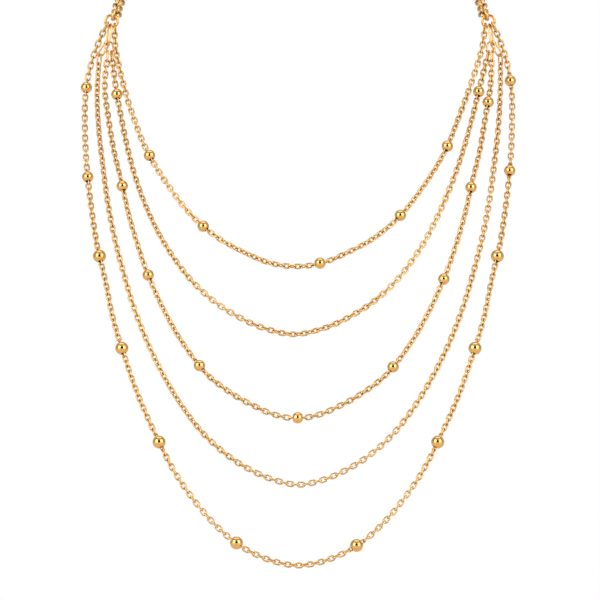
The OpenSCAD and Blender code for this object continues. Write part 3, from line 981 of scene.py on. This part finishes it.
def studio_world(look):
    """White paper to the eye. The gold mirrors a pale room with an upright dark card in it."""
    world = bpy.data.worlds.new("Studio")
    world.use_nodes = True
    nodes, links = world.node_tree.nodes, world.node_tree.links

    def part(value, edges):
        """1 before the edges and 0 past them."""
        step = ramp(nodes, *edges, falling=True)
        links.new(value, step.inputs["Value"])
        return step.outputs["Result"]

    def worked_out(operation, *values):
        node = nodes.new("ShaderNodeMath")
        node.operation = operation
        for value, socket in zip(values, node.inputs):
            links.new(value, socket)
        return node.outputs[0]

    place = nodes.new("ShaderNodeTexCoord")
    way = nodes.new("ShaderNodeSeparateXYZ")
    links.new(place.outputs["Generated"], way.inputs["Vector"])
    across = part(worked_out("ABSOLUTE", way.outputs["X"]), CARD_ACROSS)
    upright = part(worked_out("ABSOLUTE", way.outputs["Z"]), CARD_UPRIGHT)
    front = part(way.outputs["Y"], CARD_FRONT)
    card = worked_out("MULTIPLY", worked_out("MULTIPLY", across, upright), front)
    tone = nodes.new("ShaderNodeMix")
    tone.data_type = "RGBA"
    tone.inputs["A"].default_value = (look.surround,) * 3 + (1,)
    tone.inputs["B"].default_value = (look.shade,) * 3 + (1,)
    links.new(card, tone.inputs["Factor"])
    room = nodes["Background"]
    links.new(tone.outputs["Result"], room.inputs["Color"])
    paper = nodes.new("ShaderNodeBackground")
    paper.inputs["Color"].default_value = (1, 1, 1, 1)
    seen = nodes.new("ShaderNodeLightPath")
    pick = nodes.new("ShaderNodeMixShader")
    links.new(seen.outputs["Is Camera Ray"], pick.inputs["Fac"])
    links.new(room.outputs["Background"], pick.inputs[1])
    links.new(paper.outputs["Background"], pick.inputs[2])
    links.new(pick.outputs["Shader"], nodes["World Output"].inputs["Surface"])
    return world


class NECKLACE_OT_stage(bpy.types.Operator):
    """Makes the floor, the soft light and the camera"""

    bl_idname = "necklace.stage"
    bl_label = "Stage"

    def execute(self, context):
        scene = context.scene
        look = scene.stage_look
        bm = bmesh.new()
        bmesh.ops.create_circle(bm, cap_ends=True, segments=96, radius=look.floor_radius)
        bmesh.ops.translate(bm, verts=bm.verts, vec=(0, 0, -look.floor_drop))
        mesh = bpy.data.meshes.new("floor")
        bm.to_mesh(mesh)
        bm.free()
        mesh.materials.append(floor_material(look.floor_tone))
        floor = bpy.data.objects.new("floor", mesh)
        scene.collection.objects.link(floor)

        x, y, z = BOX_PLACE
        for side, name in SIDES:
            soft_box(f"{name}_soft_box", look.box_power, BOX_SIZE, (side * x, y, z))
        soft_box("top_light", look.top_power, TOP_SIZE, TOP_PLACE)

        scene.world = studio_world(look)
        scene.view_settings.view_transform = "Standard"

        data = bpy.data.cameras.new("camera")
        near = look.eye_distance - scene.necklace_sizes.ring_depth
        data.lens = data.sensor_width * near / look.view_width
        data.clip_start, data.clip_end = 0.1, 100
        camera = bpy.data.objects.new("camera", data)
        camera.location = (0, -look.eye_distance, -look.eye_height)
        camera.rotation_euler = (math.pi / 2, 0, 0)
        scene.collection.objects.link(camera)
        scene.camera = camera
        return {"FINISHED"}


OPERATORS = (
    NECKLACE_OT_strands,
    NECKLACE_OT_beads,
    NECKLACE_OT_rings,
    NECKLACE_OT_connector_links,
    NECKLACE_OT_back_chain,
    NECKLACE_OT_clasp,
    NECKLACE_OT_stage,
)


class NECKLACE_PT_panel(bpy.types.Panel):
    """Lists the pieces of the necklace and its sizes, colours and stage"""

    bl_idname = "NECKLACE_PT_panel"
    bl_label = "Layered necklace"
    bl_space_type = "VIEW_3D"
    bl_region_type = "UI"
    bl_category = "Necklace"

    def draw(self, context):
        layout = self.layout
        for operator in OPERATORS:
            layout.operator(operator.bl_idname)
        for group in (
            context.scene.necklace_sizes, context.scene.gold_finish, context.scene.stage_look
        ):
            box = layout.box()
            for key in group.__annotations__:
                box.prop(group, key)


CLASSES = (NecklaceSizes, GoldFinish, StageLook, *OPERATORS, NECKLACE_PT_panel)


def register():
    for cls in CLASSES:
        bpy.utils.register_class(cls)
    bpy.types.Scene.necklace_sizes = PointerProperty(type=NecklaceSizes)
    bpy.types.Scene.gold_finish = PointerProperty(type=GoldFinish)
    bpy.types.Scene.stage_look = PointerProperty(type=StageLook)


def unregister():
    del bpy.types.Scene.stage_look
    del bpy.types.Scene.gold_finish
    del bpy.types.Scene.necklace_sizes
    for cls in reversed(CLASSES):
        bpy.utils.unregister_class(cls)


def main():
    register()
    bpy.ops.necklace.strands()
    bpy.ops.necklace.beads()
    bpy.ops.necklace.rings()
    bpy.ops.necklace.connector_links()
    bpy.ops.necklace.back_chain()
    bpy.ops.necklace.clasp()
    bpy.ops.necklace.stage()


if __name__ == "__main__":
    main()
